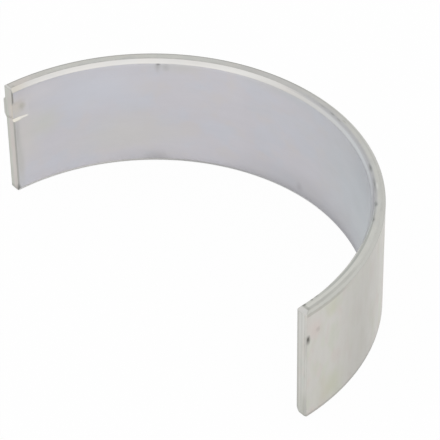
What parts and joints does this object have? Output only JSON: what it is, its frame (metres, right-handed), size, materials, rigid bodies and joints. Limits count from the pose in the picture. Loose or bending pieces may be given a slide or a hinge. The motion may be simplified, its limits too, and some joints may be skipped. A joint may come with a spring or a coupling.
{
  "type": "engine bearing shell",
  "caption": "Half shell of a split plain crankshaft bearing, with a plain bore, chamfered edges and a locating tang pressed out at a joint face.",
  "frame": {"origin": "centre of the bottom of the shell's bounding box, on the lower side face", "axes": "+Z along the bearing axis with the shell standing on one side face, +X along the joint line away from the tang, +Y from the joint line towards the middle of the arc"},
  "size_m": [0.065, 0.0318, 0.0184],
  "materials": {
    "bearing_steel": "satin"
  },
  "bodies": {
    "root": {"bearing_shell": "bearing_steel"}
  },
  "joints": []
}
